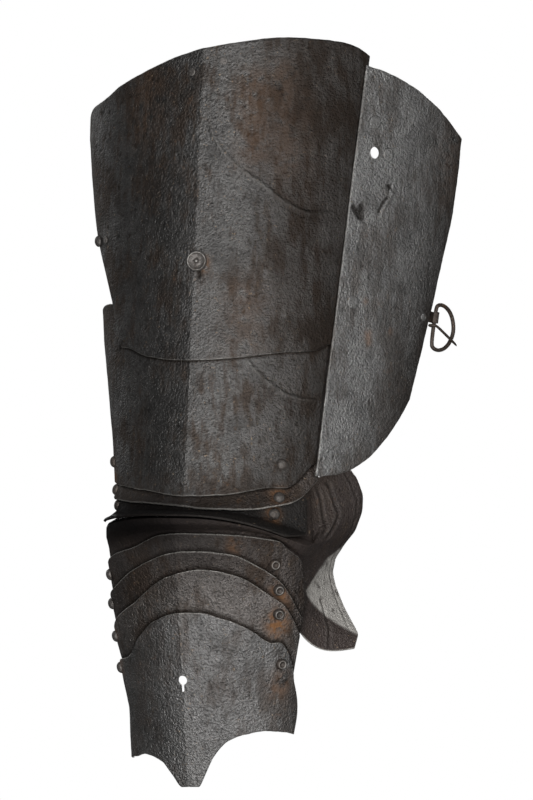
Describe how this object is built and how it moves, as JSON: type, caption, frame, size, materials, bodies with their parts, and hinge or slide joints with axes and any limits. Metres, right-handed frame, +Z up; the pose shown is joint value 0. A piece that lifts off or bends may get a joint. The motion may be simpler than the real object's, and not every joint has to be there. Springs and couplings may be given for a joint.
{
  "type": "leg armour",
  "caption": "Blackened steel armour for one leg: thigh plates with a hinged side plate, laminated knee with a flared side wing, and a short shin plate.",
  "frame": {"origin": "inside face of the thigh plate at its ridge, between the two rivets of the lost hanging strap", "axes": "+Z up the leg, -Y the front of the leg, +X the outer side with the wing and the hinged plate"},
  "size_m": [0.2818, 0.2167, 0.5798],
  "materials": {
    "aged_steel": "blackened and pitted, with brown rust",
    "worn_iron": "worn dark iron with rust"
  },
  "bodies": {
    "cuisse": {"cuisse_upper": "aged_steel", "cuisse_lower": "aged_steel", "hanging_rivet_inner": "worn_iron", "hanging_rivet_outer": "worn_iron", "main_stud": "worn_iron", "strap_rivet_front": "worn_iron", "strap_rivet_back": "worn_iron", "hinge_lower_main_leaf": "aged_steel", "hinge_upper_main_leaf": "aged_steel", "hinge_lower_pin": "worn_iron", "hinge_upper_pin": "worn_iron", "pivot_cuisse_inner": "worn_iron", "pivot_cuisse_outer": "worn_iron"},
    "side_plate": {"side_plate": "aged_steel", "hinge_lower_side_leaf": "aged_steel", "hinge_upper_side_leaf": "aged_steel", "hinge_lower_rivet": "worn_iron", "hinge_upper_rivet": "worn_iron", "side_rivet_upper": "worn_iron", "buckle_tab": "aged_steel", "buckle_rivet": "worn_iron"},
    "lame_a": {"lame_a": "aged_steel", "pivot_lame_a_inner": "worn_iron", "pivot_lame_a_outer": "worn_iron"},
    "lame_b": {"lame_b": "aged_steel", "pivot_lame_b_inner": "worn_iron", "pivot_lame_b_outer": "worn_iron"},
    "knee_cop": {"knee_cop": "aged_steel"},
    "lame_1": {"lame_1": "aged_steel", "pivot_lame_1_inner": "worn_iron", "pivot_lame_1_outer": "worn_iron"},
    "lame_2": {"lame_2": "aged_steel", "pivot_lame_2_inner": "worn_iron", "pivot_lame_2_outer": "worn_iron"},
    "lame_3": {"lame_3": "aged_steel", "pivot_lame_3_inner": "worn_iron", "pivot_lame_3_outer": "worn_iron"},
    "shin_plate": {"shin_plate": "aged_steel", "pivot_shin_inner": "worn_iron", "pivot_shin_outer": "worn_iron"},
    "buckle_frame": {"buckle_frame": "worn_iron"},
    "buckle_tongue": {"buckle_tongue": "worn_iron"}
  },
  "joints": [
    {"name": "flex_lame_a", "type": "hinge", "parent": "cuisse", "child": "lame_a", "pos_m": [-0.003, -0.00195, -0.3079], "axis": [0.9908, -0.1349, -0.0139], "range_deg": [0, 8]},
    {"name": "flex_lame_b", "type": "hinge", "parent": "lame_a", "child": "lame_b", "pos_m": [-0.00202, -0.00561, -0.3324], "axis": [0.9888, -0.1431, -0.0437], "range_deg": [0, 8]},
    {"name": "flex_knee_cop", "type": "hinge", "parent": "lame_b", "child": "knee_cop", "pos_m": [-0.00213, -0.00797, -0.34437], "axis": [0.9896, -0.1371, -0.0434], "range_deg": [0, 8]},
    {"name": "flex_lame_1", "type": "hinge", "parent": "knee_cop", "child": "lame_1", "pos_m": [-0.00122, -0.02004, -0.38928], "axis": [0.9932, -0.0944, 0.068], "range_deg": [0, 4]},
    {"name": "flex_lame_2", "type": "hinge", "parent": "lame_1", "child": "lame_2", "pos_m": [0.00053, -0.01762, -0.41041], "axis": [0.9919, -0.0916, 0.0883], "range_deg": [0, 2]},
    {"name": "flex_lame_3", "type": "hinge", "parent": "lame_2", "child": "lame_3", "pos_m": [0.00089, -0.01502, -0.43241], "axis": [0.9855, -0.0975, 0.1392], "range_deg": [0, 4]},
    {"name": "flex_shin_plate", "type": "hinge", "parent": "lame_3", "child": "shin_plate", "pos_m": [0.00178, -0.00995, -0.46398], "axis": [0.9977, -0.0584, 0.0358], "range_deg": [0, 8]},
    {"name": "side_plate_hinge", "type": "hinge", "parent": "cuisse", "child": "side_plate", "pos_m": [0.10832, 0.0425, -0.11811], "axis": [-0.0752, -0.1558, -0.9849], "range_deg": [-35, 0]},
    {"name": "buckle_swing", "type": "hinge", "parent": "side_plate", "child": "buckle_frame", "pos_m": [0.14996, 0.11371, -0.20065], "axis": [0.0861, 0.1496, 0.985], "range_deg": [-30, 30]},
    {"name": "tongue_lift", "type": "hinge", "parent": "buckle_frame", "child": "buckle_tongue", "pos_m": [0.14996, 0.11371, -0.20065], "axis": [0.0861, 0.1496, 0.985], "range_deg": [-40, 0]}
  ]
}
